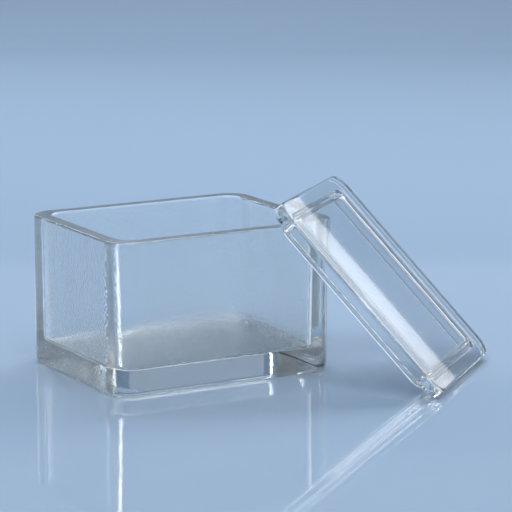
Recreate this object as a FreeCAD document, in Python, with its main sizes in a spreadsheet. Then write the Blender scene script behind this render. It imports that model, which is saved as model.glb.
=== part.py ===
"""Slide staining dish: a rectangular pressed-glass trough and its glass lid.

The trough stands on Z = 0 with its long side along X, centred on the origin.
The lid leans beside it: its lower short edge stands on Z = 0 and its underside
rests on the trough's rim at the +X, -Y corner, with the locating rib just
above that rim. Lengths are in millimetres and angles in degrees.
"""
import FreeCAD, Part
import math
import os

import Sketcher

# Alias, value and meaning of every size that can be set by itself.
SIZES = (
    ("trough_length", 105.0, "outside length of the trough, along X"),
    ("trough_width", 85.0, "outside width of the trough, along Y"),
    ("trough_height", 65.0, "height from the table to the rim"),
    ("trough_corner_radius", 10.5, "outside radius of the upright corners"),
    ("rim_wall", 7.0, "thickness of the wall at the rim"),
    ("cavity_corner_radius", 6.0, "radius of the cavity's corners at the rim"),
    ("cavity_draft", 1.0, "slope of the cavity's walls, which narrow downwards"),
    ("base_thickness", 10.0, "thickness of the glass under the cavity"),
    ("floor_fillet", 2.0, "radius where the cavity's walls meet its floor"),
    ("rim_fillet", 1.2, "rounding of the rim's two edges"),
    ("foot_fillet", 2.5, "rounding of the trough's bottom edge"),
    ("lid_inset", 1.2, "how far the closed lid stays inside the trough's outline"),
    ("lid_corner_radius", 7.8, "radius of the lid's corners"),
    ("lid_thickness", 5.6, "thickness of the lid's plate outside the rib"),
    ("lid_edge_fillet", 1.0, "rounding of the plate's edges"),
    ("panel_recess", 2.9, "how much thinner the plate is inside the rib"),
    ("rib_clearance", 1.0, "gap between the rib and the cavity's wall, lid closed"),
    ("rib_width", 2.5, "width of the locating rib"),
    ("rib_depth", 3.9, "how far the rib stands out of the plate"),
    ("rib_inner_corner_radius", 2.5, "radius of the rib's inner corners"),
    ("rib_fillet", 1.0, "rounding of the rib's free edges"),
    ("rib_root_fillet", 1.0, "radius where the rib meets the plate"),
    ("lean_heading", 48.6, "turn from +X towards -Y of the way the lid's top faces"),
    ("lean_offset", 4.5, "how far the lid's centre line passes +X, +Y of the corner it rests on"),
    ("lean_rib_gap", 0.1, "height of the rib above the rim that it hangs over"),
)

HEIGHT_TOLERANCE = 1e-4


def make_sheet(doc):
    """Write the sizes into a spreadsheet, one row each."""
    sheet = doc.addObject("Spreadsheet::Sheet", "Sizes")
    for row, (alias, value, meaning) in enumerate(SIZES, start=1):
        sheet.set(f"A{row}", alias)
        sheet.set(f"B{row}", str(value))
        sheet.set(f"C{row}", meaning)
        sheet.setAlias(f"B{row}", alias)
    doc.recompute()
    return sheet


def origin_plane(body, role):
    """Return one of the body's own origin planes, such as XY_Plane."""
    for feature in body.Origin.OriginFeatures:
        if feature.Role == role:
            return feature
    raise LookupError(f"{body.Label} has no {role}")


def rounded_rectangle(body, name, length, width, radius, height="0"):
    """Draw a centred rounded rectangle level with the XY plane.

    length, width, radius and height are expressions, so the outline follows
    the sizes in the sheet. height is the outline's Z in the body.
    """
    sketch = body.newObject("Sketcher::SketchObject", name)
    sketch.AttachmentSupport = [(origin_plane(body, "XY_Plane"), "")]
    sketch.MapMode = "FlatFace"
    sketch.setExpression("AttachmentOffset.Base.z", height)

    # A first outline of about the right shape, which the constraints then set.
    half_length, half_width, corner = 30.0, 20.0, 5.0
    centre_x = half_length - corner
    centre_y = half_width - corner
    normal = FreeCAD.Vector(0, 0, 1)
    quarter = math.pi / 2
    corners = ((centre_x, centre_y), (-centre_x, centre_y), (-centre_x, -centre_y), (centre_x, -centre_y))
    arcs = []
    for turn, (x, y) in enumerate(corners):
        circle = Part.Circle(FreeCAD.Vector(x, y, 0), normal, corner)
        arc = Part.ArcOfCircle(circle, turn * quarter, (turn + 1) * quarter)
        arcs.append(sketch.addGeometry(arc, False))
    sides = []
    for turn in range(len(corners)):
        start = sketch.getPoint(arcs[turn], 2)
        end = sketch.getPoint(arcs[(turn + 1) % len(corners)], 1)
        sides.append(sketch.addGeometry(Part.LineSegment(start, end), False))
    for turn, side in enumerate(sides):
        direction = "Horizontal" if turn % 2 == 0 else "Vertical"
        following = arcs[(turn + 1) % len(arcs)]
        sketch.addConstraint(Sketcher.Constraint("Tangent", arcs[turn], 2, side, 1))
        sketch.addConstraint(Sketcher.Constraint("Tangent", side, 2, following, 1))
        sketch.addConstraint(Sketcher.Constraint(direction, side))
    for arc in arcs[1:]:
        sketch.addConstraint(Sketcher.Constraint("Equal", arcs[0], arc))
    back, left, front, right = sides
    sketch.addConstraint(Sketcher.Constraint("Symmetric", arcs[0], 3, arcs[2], 3, -1, 1))

    drawn = {
        "Length": Sketcher.Constraint("DistanceX", left, 1, right, 1, 2 * half_length),
        "Width": Sketcher.Constraint("DistanceY", front, 1, back, 1, 2 * half_width),
        "Radius": Sketcher.Constraint("Radius", arcs[0], corner),
    }
    for label, constraint in drawn.items():
        sketch.renameConstraint(sketch.addConstraint(constraint), label)
    for label, expression in (("Length", length), ("Width", width), ("Radius", radius)):
        sketch.setExpression(f"Constraints.{label}", expression)
    sketch.Visibility = False
    return sketch


def add_extrusion(body, kind, name, sketch, length, **settings):
    """Add a Pad or a Pocket of a sketch, its length bound to an expression."""
    feature = body.newObject(f"PartDesign::{kind}", name)
    feature.Profile = sketch
    for setting, value in settings.items():
        setattr(feature, setting, value)
    feature.setExpression("Length", length)
    body.Document.recompute()
    return feature


def level_edges(shape, height, half_length=math.inf, half_width=math.inf):
    """Name the shape's edges that lie level at one height.

    half_length and half_width leave out the edges that reach further than
    that from the YZ plane and from the XZ plane.
    """
    names = []
    for number, edge in enumerate(shape.Edges, start=1):
        box = edge.BoundBox
        level = abs(box.ZMin - height) < HEIGHT_TOLERANCE and abs(box.ZMax - height) < HEIGHT_TOLERANCE
        near_middle = max(-box.XMin, box.XMax) < half_length and max(-box.YMin, box.YMax) < half_width
        if level and near_middle:
            names.append(f"Edge{number}")
    return names


def add_fillet(body, name, base, edges, radius):
    """Round edges of the body's last feature, the radius bound to an expression."""
    fillet = body.newObject("PartDesign::Fillet", name)
    fillet.Base = (base, edges)
    fillet.setExpression("Radius", radius)
    body.Document.recompute()
    return fillet


def make_trough(doc, sheet):
    """Build the trough: a rounded block with a drafted cavity."""
    body = doc.addObject("PartDesign::Body", "Trough")
    body.Label = "trough"
    outline = rounded_rectangle(
        body, "TroughOutline",
        "Sizes.trough_length", "Sizes.trough_width", "Sizes.trough_corner_radius",
    )
    block = add_extrusion(body, "Pad", "Block", outline, "Sizes.trough_height")
    mouth = rounded_rectangle(
        body, "CavityMouth",
        "Sizes.trough_length - 2 * Sizes.rim_wall",
        "Sizes.trough_width - 2 * Sizes.rim_wall",
        "Sizes.cavity_corner_radius",
        "Sizes.trough_height",
    )
    cavity = add_extrusion(
        body, "Pocket", "Cavity", mouth, "Sizes.trough_height - Sizes.base_thickness",
        TaperAngle=-sheet.cavity_draft,
    )
    cavity.setExpression("TaperAngle", "-Sizes.cavity_draft")
    doc.recompute()

    floor = add_fillet(
        body, "FloorFillet", cavity, level_edges(cavity.Shape, sheet.base_thickness), "Sizes.floor_fillet",
    )
    rim = add_fillet(
        body, "RimFillet", floor, level_edges(floor.Shape, sheet.trough_height), "Sizes.rim_fillet",
    )
    add_fillet(body, "FootFillet", rim, level_edges(rim.Shape, 0), "Sizes.foot_fillet")
    return body


def make_lid(doc, sheet):
    """Build the lid: a plate with a rib round its underside and a recess inside the rib.

    The underside of the plate's border is the body's XY plane. The rib stands
    out below it, and the panel inside the rib is hollowed out above it.
    """
    body = doc.addObject("PartDesign::Body", "Lid")
    body.Label = "lid"
    outline = rounded_rectangle(
        body, "PlateOutline",
        "Sizes.trough_length - 2 * Sizes.lid_inset",
        "Sizes.trough_width - 2 * Sizes.lid_inset",
        "Sizes.lid_corner_radius",
    )
    plate = add_extrusion(body, "Pad", "Plate", outline, "Sizes.lid_thickness")
    plate_edges = level_edges(plate.Shape, 0) + level_edges(plate.Shape, sheet.lid_thickness)
    add_fillet(body, "PlateFillet", plate, plate_edges, "Sizes.lid_edge_fillet")

    rib_outside = rounded_rectangle(
        body, "RibOutside",
        "Sizes.trough_length - 2 * (Sizes.rim_wall + Sizes.rib_clearance)",
        "Sizes.trough_width - 2 * (Sizes.rim_wall + Sizes.rib_clearance)",
        "Sizes.cavity_corner_radius - Sizes.rib_clearance",
    )
    add_extrusion(body, "Pad", "RibBlock", rib_outside, "Sizes.rib_depth", Reversed=True)
    rib_inside = rounded_rectangle(
        body, "RibInside",
        "Sizes.trough_length - 2 * (Sizes.rim_wall + Sizes.rib_clearance + Sizes.rib_width)",
        "Sizes.trough_width - 2 * (Sizes.rim_wall + Sizes.rib_clearance + Sizes.rib_width)",
        "Sizes.rib_inner_corner_radius",
        "Sizes.panel_recess",
    )
    panel = add_extrusion(body, "Pocket", "Panel", rib_inside, "Sizes.rib_depth + Sizes.panel_recess")

    # The rib's outer root lies within the cavity's mouth and the plate's own edges outside it.
    mouth_half_length = sheet.trough_length / 2 - sheet.rim_wall
    mouth_half_width = sheet.trough_width / 2 - sheet.rim_wall
    outer_root = level_edges(panel.Shape, 0, mouth_half_length, mouth_half_width)
    root_edges = outer_root + level_edges(panel.Shape, sheet.panel_recess)
    root = add_fillet(body, "RibRootFillet", panel, root_edges, "Sizes.rib_root_fillet")
    add_fillet(body, "RibFillet", root, level_edges(root.Shape, -sheet.rib_depth), "Sizes.rib_fillet")
    body.Placement = lean(sheet)
    return body


def lean(sheet):
    """Lean the lid on the trough's corner, its lower edge on the table.

    The lid's local X axis runs up the slope and its local Z axis is the way
    its top faces. The slope is the one that puts the rib's rounded inner edge
    lean_rib_gap above the rim while the plate's rounded lower edge stands on
    Z = 0.
    """
    rounding = sheet.lid_edge_fillet
    half_length = sheet.trough_length / 2 - sheet.lid_inset
    rib_inner_wall = sheet.trough_length / 2 - sheet.rim_wall - sheet.rib_clearance - sheet.rib_width
    along = half_length - rounding + rib_inner_wall + sheet.rib_fillet
    across = sheet.rib_depth - sheet.rib_fillet + rounding
    rise = sheet.trough_height + sheet.lean_rib_gap + sheet.rib_fillet - rounding
    slope = math.asin(rise / math.hypot(along, across)) + math.atan2(across, along)
    heading = math.radians(-sheet.lean_heading)

    outward = FreeCAD.Vector(math.cos(heading), math.sin(heading), 0)
    upright = FreeCAD.Vector(0, 0, 1)
    facing = outward * math.sin(slope) + upright * math.cos(slope)
    uphill = upright * math.sin(slope) - outward * math.cos(slope)
    sideways = facing.cross(uphill)

    # Where the recessed panel touches the rounded rim at the trough's corner.
    corner_centre = FreeCAD.Vector(
        sheet.trough_length / 2 - sheet.trough_corner_radius,
        sheet.trough_corner_radius - sheet.trough_width / 2,
        sheet.trough_height - sheet.rim_fillet,
    )
    rim_circle = outward * (sheet.trough_corner_radius - sheet.rim_fillet)
    contact = corner_centre + rim_circle + facing * sheet.rim_fillet

    origin_height = (half_length - rounding) * math.sin(slope) + rounding * (1 - math.cos(slope))
    rise_to_contact = contact.z - origin_height - sheet.panel_recess * math.cos(slope)
    in_panel = contact - facing * sheet.panel_recess - uphill * (rise_to_contact / math.sin(slope))
    base = in_panel - sideways * sheet.lean_offset
    return FreeCAD.Placement(base, FreeCAD.Rotation(uphill, sideways, facing, "ZXY"))


def check(doc, bodies):
    """Stop if any object failed or any body is not one valid solid."""
    for item in doc.Objects:
        failed = {"Invalid", "Error"}.intersection(item.State)
        if failed:
            raise RuntimeError(f"{item.Label}: {sorted(failed)}")
    for body in bodies:
        if body.Shape.isNull() or not body.Shape.isValid() or len(body.Shape.Solids) != 1:
            raise RuntimeError(f"{body.Label}: not one valid solid")


def main():
    """Build the document and write one STEP file for each sub-part."""
    doc = FreeCAD.newDocument("SlideStainingDish")
    sheet = make_sheet(doc)
    bodies = (make_trough(doc, sheet), make_lid(doc, sheet))
    doc.recompute()
    check(doc, bodies)
    os.makedirs("parts", exist_ok=True)
    for body in bodies:
        body.Shape.exportStep(f"parts/{body.Label}.step")
        box = body.Shape.BoundBox
        print(f"{body.Label}: {body.Shape.Volume:.1f} mm3, Z {box.ZMin:.4f} to {box.ZMax:.4f}")


main()
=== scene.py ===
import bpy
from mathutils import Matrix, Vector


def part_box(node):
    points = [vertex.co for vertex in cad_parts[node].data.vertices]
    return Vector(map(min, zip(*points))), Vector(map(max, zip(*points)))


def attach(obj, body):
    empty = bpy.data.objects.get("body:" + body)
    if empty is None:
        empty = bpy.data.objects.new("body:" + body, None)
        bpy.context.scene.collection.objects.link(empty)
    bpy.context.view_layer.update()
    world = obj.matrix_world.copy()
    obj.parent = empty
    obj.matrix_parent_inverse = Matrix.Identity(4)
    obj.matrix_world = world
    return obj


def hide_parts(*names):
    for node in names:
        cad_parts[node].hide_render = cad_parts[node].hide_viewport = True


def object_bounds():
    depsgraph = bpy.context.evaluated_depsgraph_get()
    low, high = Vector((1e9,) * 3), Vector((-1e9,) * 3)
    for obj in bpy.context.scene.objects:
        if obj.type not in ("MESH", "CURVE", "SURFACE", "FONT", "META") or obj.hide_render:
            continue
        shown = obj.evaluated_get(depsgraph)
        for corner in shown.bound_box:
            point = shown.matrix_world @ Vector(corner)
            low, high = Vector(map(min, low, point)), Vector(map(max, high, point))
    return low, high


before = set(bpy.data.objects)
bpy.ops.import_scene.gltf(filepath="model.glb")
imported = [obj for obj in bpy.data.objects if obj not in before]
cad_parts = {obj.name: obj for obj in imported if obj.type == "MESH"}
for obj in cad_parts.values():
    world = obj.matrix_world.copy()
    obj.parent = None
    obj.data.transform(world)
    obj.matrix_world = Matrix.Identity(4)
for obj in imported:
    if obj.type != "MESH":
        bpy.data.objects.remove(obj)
CAD_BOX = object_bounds()

"""Looks of the slide staining dish: a pressed-glass trough and its ribbed lid.

Every length is in metres and every size that is an angle is in degrees. Each
glass piece is swept: rounded rectangles, one inside or above the next, follow
the section of the glass and are joined into one skin.
"""

import logging
import math
from dataclasses import dataclass, field
from enum import Enum
from typing import Sequence

import bmesh
import bpy
from mathutils import Matrix, Vector, noise

LOG = logging.getLogger("slide_staining_dish")
MM = 0.001
STIPPLE = "stipple"
FROST = "frost"
UPRIGHT = Vector((0.0, 0.0, 1.0)).freeze()


# ---------------------------------------------------------------- shader maths


class Socket:
    """An output socket, or a number, that can stand in a Python expression."""

    def __init__(self, graph: "Graph", link: bpy.types.NodeSocket | None) -> None:
        """Remember the graph and the output, which is None for a node that has none."""
        self.graph = graph
        self.link = link

    def _math(self, operation: str, *operands: "Socket | float") -> "Socket":
        """Add a Math node for one operation on these operands."""
        return self.graph.node("ShaderNodeMath", {"operation": operation}, dict(enumerate(operands)))

    def __add__(self, other: "Socket | float") -> "Socket":
        """Return self + other."""
        return self._math("ADD", self, other)

    def __radd__(self, other: float) -> "Socket":
        """Return other + self."""
        return self._math("ADD", other, self)

    def __mul__(self, other: "Socket | float") -> "Socket":
        """Return self * other."""
        return self._math("MULTIPLY", self, other)

    def __rmul__(self, other: float) -> "Socket":
        """Return other * self."""
        return self._math("MULTIPLY", other, self)


class Graph:
    """A material's or the world's node tree, with one way to add a node."""

    def __init__(self, tree: bpy.types.NodeTree) -> None:
        """Start from an empty tree."""
        self.tree = tree
        tree.nodes.clear()

    def node(
        self,
        kind: str,
        settings: dict[str, object] | None = None,
        sockets: dict[str | int, object] | None = None,
        output: str | int = 0,
    ) -> Socket:
        """Add one node.

        Args:
            kind: The node's type, such as ShaderNodeMath.
            settings: The node's own settings, set first.
            sockets: A value or a Socket for each input, by name or number.
            output: The name or number of the output to return.

        Returns:
            The chosen output, or an empty socket for a node that has no output.
        """
        made = self.tree.nodes.new(kind)
        for name, value in (settings or {}).items():
            setattr(made, name, value)
        for name, value in (sockets or {}).items():
            if isinstance(value, Socket):
                self.tree.links.new(value.link, made.inputs[name])
            else:
                made.inputs[name].default_value = value
        return Socket(self, made.outputs[output] if made.outputs else None)


# -------------------------------------------------------------------- finishes


@dataclass(frozen=True)
class PressedGlass:
    """Clear soda-lime glass, smooth outside and stippled where the plunger pressed it.

    The meshes carry two attributes: stipple is 1 where the plunger's rough
    face touched the glass, and frost is above 0 along the upright corners of
    the cavity, where the plunger's edges leave a jagged line.

    Attributes:
        tint: The colour of light that crosses the surface.
        body_colour: With body_density, the colour that thick glass takes.
        stipple_size: The spacing of the fine grains; they stand stipple_height high.
        wave_size: The spacing of the broad waves; they stand wave_height high.
        polish_share: The share of grains and waves that is left on a polished face.
        jag_size: The spacing of the jags in frost; they stand jag_height high.
        roughness: The roughness of polished glass.
        haze: The roughness that a fully stippled face adds all over.
        grain: The roughness that it adds at the top of a grain.
        frosting: The roughness that frost adds at the top of a jag.
    """

    name: str = "clear_pressed_glass"
    tint: tuple[float, float, float] = (0.985, 0.993, 0.99)
    ior: float = 1.52
    body_colour: tuple[float, float, float] = (0.55, 0.67, 0.63)
    body_density: float = 2.5
    stipple_size: float = 1.1 * MM
    stipple_height: float = 0.10 * MM
    stipple_detail: float = 0.5
    wave_size: float = 4.5 * MM
    wave_height: float = 0.03 * MM
    wave_detail: float = 1.0
    polish_share: float = 0.01
    jag_size: float = 1.0 * MM
    jag_height: float = 0.12 * MM
    jag_detail: float = 3.0
    roughness: float = 0.01
    haze: float = 0.08
    grain: float = 0.22
    frosting: float = 0.15

    def make(self) -> bpy.types.Material:
        """Build the material.

        Returns:
            The glass, with its grains as bump and roughness and its colour as absorption.
        """
        material = bpy.data.materials.new(self.name)
        material.use_nodes = True
        graph = Graph(material.node_tree)
        place = graph.node("ShaderNodeTexCoord", output="Object")
        plunger = graph.node("ShaderNodeAttribute", {"attribute_name": STIPPLE}, output="Fac")
        frost = graph.node("ShaderNodeAttribute", {"attribute_name": FROST}, output="Fac")
        share = plunger * (1.0 - self.polish_share) + self.polish_share

        stipple = self._noise(graph, place, self.stipple_size, self.stipple_detail)
        wave = self._noise(graph, place, self.wave_size, self.wave_detail)
        jag = self._noise(graph, place, self.jag_size, self.jag_detail)
        height = (stipple * self.stipple_height + wave * self.wave_height) * share
        height = height + jag * frost * self.jag_height
        bump = graph.node(
            "ShaderNodeBump",
            sockets={"Strength": 1.0, "Distance": 1.0, "Height": height},
        )
        haze = plunger * (stipple * self.grain + self.haze) + frost * jag * self.frosting
        glass = graph.node(
            "ShaderNodeBsdfPrincipled",
            sockets={
                "Base Color": (*self.tint, 1.0),
                "Roughness": haze + self.roughness,
                "IOR": self.ior,
                "Transmission Weight": 1.0,
                "Normal": bump,
            },
        )
        body = graph.node(
            "ShaderNodeVolumeAbsorption",
            sockets={"Color": (*self.body_colour, 1.0), "Density": self.body_density},
        )
        graph.node("ShaderNodeOutputMaterial", sockets={"Surface": glass, "Volume": body})
        return material

    @staticmethod
    def _noise(graph: Graph, place: Socket, size: float, detail: float) -> Socket:
        """Add a noise texture whose features are about this size."""
        return graph.node(
            "ShaderNodeTexNoise",
            {"noise_dimensions": "3D"},
            {"Vector": place, "Scale": 1.0 / size, "Detail": detail},
        )


@dataclass(frozen=True)
class TableTop:
    """The smooth pale table top that mirrors the glass faintly and curves up into the backdrop."""

    name: str = "pale_floor"
    colour: tuple[float, float, float] = (0.36, 0.49, 0.66)
    roughness: float = 0.05
    specular: float = 0.5

    def make(self) -> bpy.types.Material:
        """Build the material."""
        material = bpy.data.materials.new(self.name)
        material.use_nodes = True
        graph = Graph(material.node_tree)
        surface = graph.node(
            "ShaderNodeBsdfPrincipled",
            sockets={
                "Base Color": (*self.colour, 1.0),
                "Roughness": self.roughness,
                "Specular IOR Level": self.specular,
            },
        )
        graph.node("ShaderNodeOutputMaterial", sockets={"Surface": surface})
        return material


# ----------------------------------------------------------------- swept glass


@dataclass(frozen=True)
class Touch:
    """What a mould or a plunger does to the glass.

    Attributes:
        stipple: How stippled the glass is, from 0 to 1.
        end_stipple: What is added to that where the glass faces along X.
        corner_polish: The share of the stipple that is missing in the middle of a corner.
        ripple: The depth of the smooth, broad ripple.
        corner_frost: The frost in the middle of a corner, from 0 to 1.
        dent: The depth of the ragged dents on the sides.
        end_dent: What is added to that where the glass faces along X.
        corner_dent: The depth of the dents in the middle of a corner.
    """

    stipple: float = 0.0
    end_stipple: float = 0.0
    corner_polish: float = 0.0
    ripple: float = 0.0
    corner_frost: float = 0.0
    dent: float = 0.0
    end_dent: float = 0.0
    corner_dent: float = 0.0

    def stipple_at(self, spot: "Spot") -> float:
        """Return how stippled the glass is at a spot, from 0 to 1."""
        return (self.stipple + self.end_stipple * spot.end) * (1.0 - self.corner_polish * spot.bend)

    def frost_at(self, spot: "Spot") -> float:
        """Return how frosted the glass is at a spot, from 0 to 1."""
        return self.corner_frost * spot.bend

    def dent_at(self, spot: "Spot") -> float:
        """Return how deep the dents are at a spot."""
        return self.dent + self.end_dent * spot.end + (self.corner_dent - self.dent) * spot.bend


class Skin(Enum):
    """The stretches of glass that were shaped alike, each with its touch."""

    OUTSIDE = Touch(stipple=0.25, ripple=0.015 * MM)
    BASE_SIDE = Touch(stipple=0.1, end_stipple=1.0, ripple=0.03 * MM, end_dent=0.05 * MM)
    PLUNGER = Touch(
        stipple=1.0,
        corner_polish=0.7,
        ripple=0.06 * MM,
        corner_frost=0.35,
        dent=0.015 * MM,
        corner_dent=0.12 * MM,
    )
    CAVITY_FLOOR = Touch(stipple=0.8, ripple=0.05 * MM, dent=0.01 * MM)
    CAVITY_FILLET = Touch(
        stipple=0.2,
        ripple=0.02 * MM,
        corner_frost=0.2,
        dent=0.01 * MM,
        corner_dent=0.06 * MM,
    )
    EDGE = Touch()
    LID_FACE = Touch(ripple=0.001 * MM)
    RIB = Touch(stipple=0.3, ripple=0.02 * MM)


@dataclass(frozen=True)
class Spot:
    """A point of a ring in the XY plane.

    Attributes:
        end: How much the glass faces along X there, from 0 to 1.
        bend: 0 on a side, 0.5 where a corner starts and 1 in its middle.
    """

    x: float
    y: float
    end: float
    bend: float = 0.0


@dataclass(frozen=True)
class Ring:
    """A level rounded rectangle: how far it is in from the outline, its corner, height and skin."""

    inset: float
    corner: float
    height: float
    skin: Skin


@dataclass
class SweptGlass:
    """A closed skin through rings that all have the same outline, inset and raised.

    Attributes:
        length: The outline's size along X.
        width: The outline's size along Y.
        corner_steps: The number of steps round each corner.
        spacing: The usual distance between points and between rings.
        least_corner: The smallest corner radius that a ring may have.
        hub_half_width: Half the width of the small ring in the middle of a surface.
        same_place: The distance under which two rings are one.
        ripple_size: The spacing of the smooth ripple.
        dent_size: The spacing of the ragged dents.
        rings: The rings so far, in order.
    """

    length: float
    width: float
    corner_steps: int = 14
    spacing: float = 1.0 * MM
    least_corner: float = 0.3 * MM
    hub_half_width: float = 0.6 * MM
    same_place: float = 0.0001 * MM
    ripple_size: float = 9.0 * MM
    dent_size: float = 1.5 * MM
    rings: list[Ring] = field(default_factory=list)

    def hub(self, height: float, skin: Skin) -> Ring:
        """Return the small ring in the middle of a surface, which one flat polygon closes."""
        return Ring(self.width / 2 - self.hub_half_width, self.least_corner, height, skin)

    def line(self, end: Ring, spacing: float | None = None) -> None:
        """Go straight from the last ring to another.

        Args:
            end: The ring to end at, whose skin the whole stretch takes.
            spacing: The largest distance between rings, or None for the usual one.
        """
        start = self.rings[-1]
        run = math.hypot(end.inset - start.inset, end.height - start.height)
        steps = max(1, math.ceil(run / (spacing or self.spacing)))
        for step in range(1, steps + 1):
            share = step / steps
            self.rings.append(
                Ring(
                    start.inset + (end.inset - start.inset) * share,
                    start.corner + (end.corner - start.corner) * share,
                    start.height + (end.height - start.height) * share,
                    end.skin,
                )
            )

    def arc(
        self,
        centre: tuple[float, float],
        radius: float,
        start: float,
        sweep: float,
        corner: float,
        skin: Skin,
        steps: int = 8,
    ) -> None:
        """Round an edge, about a centre in the glass, or a hollow one, about a centre in the air.

        Args:
            centre: Inset and height of the arc's centre.
            radius: The arc's radius.
            start: The angle that the arc starts at, from the outward level.
            sweep: The angle that it turns through, positive from outward to up.
            corner: The corner radius of a ring at the centre's inset.
            skin: The skin of the stretch.
            steps: The number of steps round it.
        """
        for step in range(steps + 1):
            angle = math.radians(start + sweep * step / steps)
            outward = radius * math.cos(angle)
            ring = Ring(
                centre[0] - outward,
                max(corner + outward, self.least_corner),
                centre[1] + radius * math.sin(angle),
                skin,
            )
            if not self._is_last(ring):
                self.rings.append(ring)

    def _is_last(self, ring: Ring) -> bool:
        """Tell whether a ring coincides with the last one."""
        last = self.rings[-1]
        return math.hypot(last.inset - ring.inset, last.height - ring.height) < self.same_place

    def outline(self, ring: Ring) -> list[Spot]:
        """Place the points of one ring.

        Args:
            ring: The ring.

        Returns:
            The points, counter-clockwise from the +X side.
        """
        half_length = self.length / 2 - ring.inset
        half_width = self.width / 2 - ring.inset
        corner = min(ring.corner, half_length, half_width)
        along = max(2, round(self.length / self.spacing))
        across = max(2, round(self.width / self.spacing))
        spots: list[Spot] = []
        quadrants = ((1, 1, across), (-1, 1, along), (-1, -1, across), (1, -1, along))
        for turn, (sign_x, sign_y, side) in enumerate(quadrants):
            centre_x = sign_x * (half_length - corner)
            centre_y = sign_y * (half_width - corner)
            before_x, before_y, _ = quadrants[turn - 1]
            side_start = self._tangent(half_length, half_width, corner, before_x, before_y, turn)
            side_end = self._tangent(half_length, half_width, corner, sign_x, sign_y, turn)
            faces_along_x = float(turn % 2 == 0)
            for step in range(1, side):
                share = step / side
                spots.append(Spot(
                    side_start[0] + (side_end[0] - side_start[0]) * share,
                    side_start[1] + (side_end[1] - side_start[1]) * share,
                    faces_along_x,
                ))
            for step in range(self.corner_steps + 1):
                share = step / self.corner_steps
                angle = math.pi / 2 * (turn + share)
                spots.append(Spot(
                    centre_x + corner * math.cos(angle),
                    centre_y + corner * math.sin(angle),
                    math.cos(angle) ** 2,
                    0.5 + 0.5 * math.sin(math.pi * share),
                ))
        return spots

    @staticmethod
    def _tangent(
        half_length: float,
        half_width: float,
        corner: float,
        sign_x: int,
        sign_y: int,
        turn: int,
    ) -> tuple[float, float]:
        """Return where a corner's arc meets the side that is turn quarter turns from +X."""
        outward = (math.cos(math.pi / 2 * turn), math.sin(math.pi / 2 * turn))
        return (
            sign_x * (half_length - corner) + corner * outward[0],
            sign_y * (half_width - corner) + corner * outward[1],
        )

    def mesh(self, name: str, seed: float) -> bpy.types.Mesh:
        """Join the rings into one closed mesh.

        Args:
            name: The mesh's name.
            seed: Shifts the ripple, so that two pieces differ.

        Returns:
            The mesh, rippled and dented, with smooth faces and the glass's two attributes.
        """
        shape = bmesh.new()
        stipple = shape.verts.layers.float.new(STIPPLE)
        frost = shape.verts.layers.float.new(FROST)
        depths: list[tuple[float, float]] = []
        loops: list[list[bmesh.types.BMVert]] = []
        for ring in self.rings:
            touch = ring.skin.value
            loops.append([])
            for spot in self.outline(ring):
                point = shape.verts.new((spot.x, spot.y, ring.height))
                point[stipple] = touch.stipple_at(spot)
                point[frost] = touch.frost_at(spot)
                depths.append((touch.ripple, touch.dent_at(spot)))
                loops[-1].append(point)
        for lower, upper in zip(loops, loops[1:]):
            for index in range(len(lower)):
                after = (index + 1) % len(lower)
                shape.faces.new((lower[index], lower[after], upper[after], upper[index]))
        shape.faces.new(list(reversed(loops[0])))
        shape.faces.new(loops[-1])
        for face in shape.faces:
            face.smooth = True
        bmesh.ops.recalc_face_normals(shape, faces=shape.faces)
        self._ripple(shape, depths, seed)
        mesh = bpy.data.meshes.new(name)
        shape.to_mesh(mesh)
        shape.free()
        return mesh

    def _ripple(
        self,
        shape: bmesh.types.BMesh,
        depths: Sequence[tuple[float, float]],
        seed: float,
    ) -> None:
        """Sink each point a little into the glass.

        Args:
            shape: The closed skin.
            depths: The depth of the ripple and of the dents at each point.
            seed: Shifts both.
        """
        normals = [point.normal.copy() for point in shape.verts]
        shift = Vector((seed, -seed, 2.0 * seed))
        for point, normal, (ripple, dent) in zip(shape.verts, normals, depths):
            wave = noise.noise(point.co / self.ripple_size + shift)
            chip = noise.noise(point.co / self.dent_size - shift)
            point.co -= normal * (ripple * (0.5 + 0.5 * wave) + dent * (0.5 + 0.5 * chip))


def dress(piece: bpy.types.Object, material: bpy.types.Material, node: str) -> bpy.types.Object:
    """Put a glass piece into the scene in place of the CAD node that it stands for.

    Args:
        piece: The piece.
        material: Its glass.
        node: The CAD node that it replaces.

    Returns:
        The piece.
    """
    bpy.context.scene.collection.objects.link(piece)
    piece.data.materials.append(material)
    weighted = piece.modifiers.new("flat_faces_first", "WEIGHTED_NORMAL")
    weighted.keep_sharp = False
    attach(piece, "root")
    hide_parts(node)
    LOG.info("%s: %d faces", piece.name, len(piece.data.polygons))
    return piece


# ---------------------------------------------------------- trough and its lid


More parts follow.
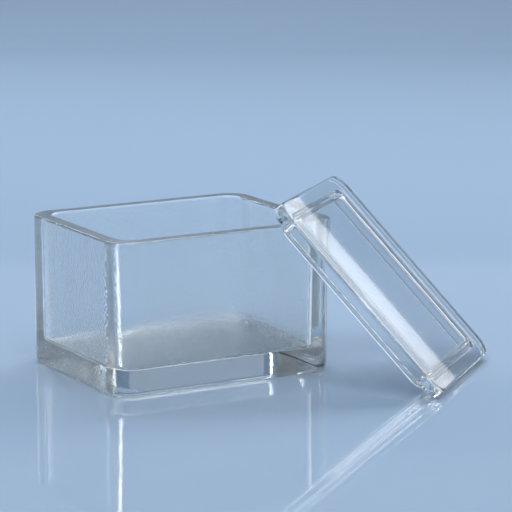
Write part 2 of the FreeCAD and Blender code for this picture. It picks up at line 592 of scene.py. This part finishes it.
@dataclass
class Trough:
    """The trough: a rounded block of glass with a drafted cavity and a low standing ring.

    Attributes:
        length: The outside size along X.
        width: The outside size along Y.
        height: The outside height.
        corner: The radius of the upright outside corners.
        rim_wall: The wall's thickness at the rim.
        cavity_corner: The radius of the cavity's upright corners at the rim.
        cavity_draft: How far the cavity's walls lean outwards.
        base: The base's thickness.
        floor_fillet: The hollow round the cavity's floor.
        rim_fillet: The round along both edges of the rim.
        foot_fillet: The round along the lower edge.
        foot_width: The width of the standing ring.
        foot_slope: The width of the slope from that ring up to the recessed middle.
        foot_recess: How far the middle is above the standing ring.
        foot_spacing: The distance between rings on that slope.
        wall_spacing: The distance between rings on the outside wall.
        ripple_seed: Shifts the ripple.
    """

    length: float
    width: float
    height: float
    corner: float = 10.5 * MM
    rim_wall: float = 7.0 * MM
    cavity_corner: float = 6.0 * MM
    cavity_draft: float = 1.0
    base: float = 10.0 * MM
    floor_fillet: float = 2.0 * MM
    rim_fillet: float = 1.2 * MM
    foot_fillet: float = 2.5 * MM
    foot_width: float = 1.5 * MM
    foot_slope: float = 1.5 * MM
    foot_recess: float = 0.25 * MM
    foot_spacing: float = 0.3 * MM
    wall_spacing: float = 2.5 * MM
    ripple_seed: float = 0.37

    @classmethod
    def from_frame(cls) -> "Trough":
        """Take the outside sizes from the CAD node."""
        low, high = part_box("trough")
        return cls(high.x - low.x, high.y - low.y, high.z - low.z)

    def build(self, material: bpy.types.Material) -> bpy.types.Object:
        """Sweep the trough from the middle of its base to the middle of its floor.

        Args:
            material: The glass.

        Returns:
            The trough, in its place.
        """
        sweep = SweptGlass(self.length, self.width)
        self._foot(sweep)
        self._outside_and_rim(sweep)
        self._cavity(sweep)
        mesh = sweep.mesh("trough", self.ripple_seed)
        low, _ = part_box("trough")
        middle = Vector((low.x + self.length / 2, low.y + self.width / 2, low.z))
        mesh.transform(Matrix.Translation(middle))
        return dress(bpy.data.objects.new("trough_glass", mesh), material, "trough")

    def _foot(self, sweep: SweptGlass) -> None:
        """Go out from the recessed middle of the base, over the standing ring and round the foot."""
        fillet = self.foot_fillet
        corner = self.corner - fillet
        ring_inside = fillet + self.foot_width
        sweep.rings.append(sweep.hub(self.foot_recess, Skin.EDGE))
        sweep.line(Ring(ring_inside + self.foot_slope, corner, self.foot_recess, Skin.EDGE))
        sweep.line(Ring(ring_inside, corner, 0.0, Skin.EDGE), self.foot_spacing)
        sweep.line(Ring(fillet, corner, 0.0, Skin.EDGE))
        sweep.arc((fillet, fillet), fillet, -90, 90, corner, Skin.BASE_SIDE)

    def _outside_and_rim(self, sweep: SweptGlass) -> None:
        """Go up the base and the wall, over the rim and down to the cavity."""
        fillet = self.rim_fillet
        shoulder = self.height - fillet
        inner_edge = self.rim_wall - fillet
        inner_corner = self.cavity_corner + fillet
        sweep.line(Ring(0.0, self.corner, self.base, Skin.BASE_SIDE))
        sweep.line(Ring(0.0, self.corner, shoulder, Skin.OUTSIDE), self.wall_spacing)
        sweep.arc((fillet, shoulder), fillet, 0, 90, self.corner - fillet, Skin.EDGE)
        sweep.line(Ring(inner_edge, inner_corner, self.height, Skin.EDGE))
        sweep.arc((inner_edge, shoulder), fillet, 90, 90, inner_corner, Skin.EDGE)

    def _cavity(self, sweep: SweptGlass) -> None:
        """Go down the drafted wall, round its foot and in to the middle of the floor."""
        fillet = self.floor_fillet
        floor_top = self.base + fillet
        narrowing = math.tan(math.radians(self.cavity_draft)) * (self.height - floor_top)
        wall = self.rim_wall + narrowing
        corner = self.cavity_corner - narrowing
        sweep.line(Ring(wall, corner, floor_top, Skin.PLUNGER))
        sweep.arc((wall + fillet, floor_top), fillet, 0, -90, corner - fillet, Skin.CAVITY_FILLET)
        sweep.line(sweep.hub(self.base, Skin.CAVITY_FLOOR))


@dataclass
class Lid:
    """The lid: a plate with a rib round its underside and a thinner panel inside the rib.

    It leans on the top of a corner of the trough and stands on its lower edge.

    Attributes:
        trough: The trough that it fits.
        inset: How far its edge is in from the trough's outside when it is on.
        corner: The radius of the plate's corners.
        thickness: The plate's thickness at its border.
        edge_fillet: The round along both edges of the plate.
        recess: How far the panel inside the rib is recessed.
        rib_clearance: The gap between the rib and the trough's wall when it is on.
        rib_width: The rib's width.
        rib_depth: How far the rib stands out below the border.
        rib_inner_corner: The radius of the corners on the rib's inside.
        rib_fillet: The round along both edges of the rib.
        root_fillet: The hollow on both sides of the rib.
        heading: The turn from +X towards -Y of the way that its top faces.
        rib_gap: How far the rib passes above the trough's rim.
        ripple_seed: Shifts the ripple.
    """

    trough: Trough
    inset: float = 1.2 * MM
    corner: float = 7.8 * MM
    thickness: float = 5.6 * MM
    edge_fillet: float = 1.0 * MM
    recess: float = 2.9 * MM
    rib_clearance: float = 1.0 * MM
    rib_width: float = 2.5 * MM
    rib_depth: float = 3.9 * MM
    rib_inner_corner: float = 2.5 * MM
    rib_fillet: float = 1.0 * MM
    root_fillet: float = 1.0 * MM
    heading: float = 48.6
    rib_gap: float = 0.1 * MM
    ripple_seed: float = 1.91

    def axes(self) -> tuple[Vector, Vector, Vector]:
        """Return the ways up the lid's slope, to its left and out of its top."""
        trough = self.trough
        half_length = trough.length / 2 - self.inset
        rib_inner_wall = trough.length / 2 - trough.rim_wall - self.rib_clearance - self.rib_width
        along = half_length - self.edge_fillet + rib_inner_wall + self.rib_fillet
        across = self.rib_depth - self.rib_fillet + self.edge_fillet
        rise = trough.height + self.rib_gap + self.rib_fillet - self.edge_fillet
        slope = math.asin(rise / math.hypot(along, across)) + math.atan2(across, along)
        heading = math.radians(-self.heading)
        outward = Vector((math.cos(heading), math.sin(heading), 0.0))
        facing = outward * math.sin(slope) + UPRIGHT * math.cos(slope)
        uphill = UPRIGHT * math.sin(slope) - outward * math.cos(slope)
        return uphill, facing.cross(uphill), facing

    def build(self, material: bpy.types.Material) -> bpy.types.Object:
        """Sweep the lid from the middle of its top to the middle of its underside.

        Args:
            material: The glass.

        Returns:
            The lid, in its place.
        """
        trough = self.trough
        sweep = SweptGlass(trough.length - 2 * self.inset, trough.width - 2 * self.inset)
        self._top_and_edge(sweep)
        self._rib(sweep)
        sweep.line(sweep.hub(self.recess, Skin.LID_FACE))
        mesh = sweep.mesh("lid", self.ripple_seed)
        mesh.transform(Matrix(self.axes()).transposed().to_4x4())
        low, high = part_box("lid")
        box_low = Vector(min(point.co[axis] for point in mesh.vertices) for axis in range(3))
        box_high = Vector(max(point.co[axis] for point in mesh.vertices) for axis in range(3))
        mesh.transform(Matrix.Translation((low + high) / 2 - (box_low + box_high) / 2))
        return dress(bpy.data.objects.new("lid_glass", mesh), material, "lid")

    def _top_and_edge(self, sweep: SweptGlass) -> None:
        """Go out over the top and round the plate's rounded edge to the underside."""
        fillet = self.edge_fillet
        corner = self.corner - fillet
        sweep.rings.append(sweep.hub(self.thickness, Skin.LID_FACE))
        sweep.line(Ring(fillet, corner, self.thickness, Skin.LID_FACE))
        sweep.arc((fillet, self.thickness - fillet), fillet, 90, -90, corner, Skin.EDGE)
        sweep.line(Ring(0.0, self.corner, fillet, Skin.EDGE))
        sweep.arc((fillet, fillet), fillet, 0, -90, corner, Skin.EDGE)

    def _rib(self, sweep: SweptGlass) -> None:
        """Go in along the border's underside, round the rib and up to the recessed panel."""
        outside = self.trough.rim_wall + self.rib_clearance - self.inset
        inside = outside + self.rib_width
        corner = self.trough.cavity_corner - self.rib_clearance
        inner_corner = self.rib_inner_corner
        root, fillet = self.root_fillet, self.rib_fillet
        tip = fillet - self.rib_depth

        sweep.line(Ring(outside - root, corner + root, 0.0, Skin.EDGE))
        sweep.arc((outside - root, -root), root, 90, 90, corner + root, Skin.RIB)
        sweep.line(Ring(outside, corner, tip, Skin.RIB))
        sweep.arc((outside + fillet, tip), fillet, 0, -90, corner - fillet, Skin.EDGE)
        sweep.line(Ring(inside - fillet, inner_corner + fillet, -self.rib_depth, Skin.EDGE))
        sweep.arc((inside - fillet, tip), fillet, -90, -90, inner_corner + fillet, Skin.EDGE)
        sweep.line(Ring(inside, inner_corner, self.recess - root, Skin.RIB))
        sweep.arc((inside + root, self.recess - root), root, 0, 90, inner_corner - root, Skin.RIB)


# ----------------------------------------------------------------------- stage


@dataclass(frozen=True)
class Softbox:
    """A soft rectangular lamp: its size, its radiance and how far it hangs from the object."""

    name: str
    width: float
    height: float
    radiance: float
    distance: float = 1.2


@dataclass
class Studio:
    """The plain floor and backdrop, the soft lamps and the camera.

    Attributes:
        table_top: The finish of the floor and backdrop.
        room_colour: The dim light that comes evenly from all round.
        floor_half: Half the width of the floor, and how far it reaches towards the camera.
        backdrop_distance: How far behind the object the backdrop stands.
        backdrop_height: The backdrop's height.
        bend: The radius of the curve from the floor up into the backdrop.
        bend_steps: The number of steps round that curve.
        azimuth: The camera's turn from the -Y side towards +X.
        elevation: The camera's angle above the floor.
        lens: The camera's focal length in millimetres.
        distance: The camera's distance from its aim.
        clip: The nearest and the farthest distance that the camera sees.
        aim_from_trough: The camera's aim, from the middle of the trough's box.
        lid_shine_border: How far left of the lid's middle the lit part of its top ends.
        lid_softbox: The lamp that the lid's top mirrors.
        softboxes: The other lamps, each with its azimuth from +X and its elevation.
        glass_bounces: How often light may pass through glass.
        mirror_bounces: How often light may be mirrored.
    """

    table_top: TableTop = TableTop()
    room_colour: tuple[float, float, float] = (0.17, 0.19, 0.21)
    floor_half: float = 3.0
    backdrop_distance: float = 1.6
    backdrop_height: float = 2.5
    bend: float = 0.5
    bend_steps: int = 12
    azimuth: float = -29.77
    elevation: float = 11.37
    lens: float = 191.9
    distance: float = 1.158
    clip: tuple[float, float] = (0.05, 20.0)
    aim_from_trough: tuple[float, float, float] = (22.46 * MM, -26.23 * MM, 17.70 * MM)
    lid_shine_border: float = 16.5 * MM
    lid_softbox: Softbox = Softbox("right_softbox", 0.8, 0.9, 1.45)
    softboxes: tuple[tuple[Softbox, float, float], ...] = (
        (Softbox("back_softbox", 1.6, 0.6, 3.4), 60.0, 52.0),
        (Softbox("left_softbox", 0.05, 0.54, 12.0), 84.0, 22.5),
        (Softbox("top_softbox", 2.0, 1.6, 3.3, 2.5), 240.0, 64.0),
    )
    glass_bounces: int = 24
    mirror_bounces: int = 12

    def back(self) -> Vector:
        """Return the direction from the object to the camera."""
        azimuth, elevation = math.radians(self.azimuth), math.radians(self.elevation)
        return Vector((
            math.sin(azimuth) * math.cos(elevation),
            -math.cos(azimuth) * math.cos(elevation),
            math.sin(elevation),
        ))

    @staticmethod
    def direction(azimuth: float, elevation: float) -> Vector:
        """Return the direction at an azimuth from +X towards +Y and an elevation above the floor."""
        turn, rise = math.radians(azimuth), math.radians(elevation)
        return Vector((math.cos(turn) * math.cos(rise), math.sin(turn) * math.cos(rise), math.sin(rise)))

    def camera(self) -> None:
        """Aim the camera at the object from the viewing angle."""
        low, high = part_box("trough")
        aim = (low + high) / 2 + Vector(self.aim_from_trough)
        data = bpy.data.cameras.new("camera")
        data.lens = self.lens
        data.clip_start, data.clip_end = self.clip
        camera = bpy.data.objects.new("camera", data)
        camera.location = aim + self.back() * self.distance
        camera.rotation_mode = "QUATERNION"
        camera.rotation_quaternion = (-self.back()).to_track_quat("-Z", "Y")
        bpy.context.scene.collection.objects.link(camera)
        bpy.context.scene.camera = camera

    def sweep(self) -> None:
        """Lay the floor and curve it up into the backdrop, square to the view."""
        level_back = self.back()
        level_back.z = 0.0
        level_back.normalize()
        side = Vector((-level_back.y, level_back.x, 0.0))
        stations = [(-self.floor_half, 0.0), (self.backdrop_distance - self.bend, 0.0)]
        for step in range(1, self.bend_steps + 1):
            angle = math.radians(90 * step / self.bend_steps)
            stations.append((
                self.backdrop_distance - self.bend + self.bend * math.sin(angle),
                self.bend - self.bend * math.cos(angle),
            ))
        stations.append((self.backdrop_distance, self.backdrop_height))
        points, faces = [], []
        for away, height in stations:
            for reach in (-self.floor_half, self.floor_half):
                place = side * reach - level_back * away
                points.append((place.x, place.y, height))
        for row in range(len(stations) - 1):
            first = 2 * row
            faces.append((first, first + 1, first + 3, first + 2))
        mesh = bpy.data.meshes.new("floor")
        mesh.from_pydata(points, [], faces)
        for polygon in mesh.polygons:
            polygon.use_smooth = True
        floor = bpy.data.objects.new("floor", mesh)
        bpy.context.scene.collection.objects.link(floor)
        mesh.materials.append(self.table_top.make())

    @staticmethod
    def lamp(softbox: Softbox, place: Vector, back: Vector, up: Vector) -> None:
        """Hang one softbox.

        Args:
            softbox: The lamp.
            place: Where its middle is.
            back: The direction that its back faces. It shines the other way.
            up: The direction of its height, as near as it can be.
        """
        data = bpy.data.lights.new(softbox.name, "AREA")
        data.shape = "RECTANGLE"
        data.size, data.size_y = softbox.width, softbox.height
        # A lamp's power is its radiance times pi times its area.
        data.energy = softbox.radiance * math.pi * softbox.width * softbox.height
        lamp = bpy.data.objects.new(softbox.name, data)
        side = up.cross(back).normalized()
        turn = Matrix((side, back.cross(side), back)).transposed().to_4x4()
        lamp.matrix_world = Matrix.Translation(place) @ turn
        bpy.context.scene.collection.objects.link(lamp)

    def lid_lamp(self, lid: Lid) -> None:
        """Hang the lamp whose mirror image fills the left of the lid's top, up to a straight border.

        Args:
            lid: The leaning lid. The lamp's edge is in the plane of the border
                and of the camera's mirror image in the lid's top.
        """
        uphill, sideways, facing = lid.axes()
        low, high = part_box("lid")
        border = (low + high) / 2 + facing * (lid.thickness / 2) + sideways * self.lid_shine_border
        eye = bpy.context.scene.camera.location
        mirrored = eye - facing * (2.0 * (eye - border).dot(facing))
        ray = (border - mirrored).normalized()
        across = ray.cross(uphill).normalized()
        softbox = self.lid_softbox
        place = border + ray * softbox.distance + across * (softbox.width / 2)
        self.lamp(softbox, place, ray, uphill)

    def world(self) -> None:
        """Surround the scene with a dim even light."""
        world = bpy.data.worlds.new("studio")
        world.use_nodes = True
        graph = Graph(world.node_tree)
        sky = graph.node(
            "ShaderNodeBackground",
            sockets={"Color": (*self.room_colour, 1.0), "Strength": 1.0},
        )
        graph.node("ShaderNodeOutputWorld", sockets={"Surface": sky})
        bpy.context.scene.world = world

    def build(self, lid: Lid) -> None:
        """Set up the whole stage round the leaning lid."""
        self.camera()
        self.sweep()
        self.world()
        self.lid_lamp(lid)
        low, high = CAD_BOX
        middle = (low + high) / 2
        for softbox, azimuth, elevation in self.softboxes:
            back = self.direction(azimuth, elevation)
            self.lamp(softbox, middle + back * softbox.distance, back, UPRIGHT)
        scene = bpy.context.scene
        scene.view_settings.view_transform = "Standard"
        scene.cycles.max_bounces = self.glass_bounces
        scene.cycles.transmission_bounces = self.glass_bounces
        scene.cycles.glossy_bounces = self.mirror_bounces


def main() -> None:
    """Build the stage and both glass pieces."""
    logging.basicConfig(level=logging.INFO)
    trough = Trough.from_frame()
    lid = Lid(trough)
    Studio().build(lid)
    material = PressedGlass().make()
    trough.build(material)
    lid.build(material)


if __name__ == "__main__":
    main()
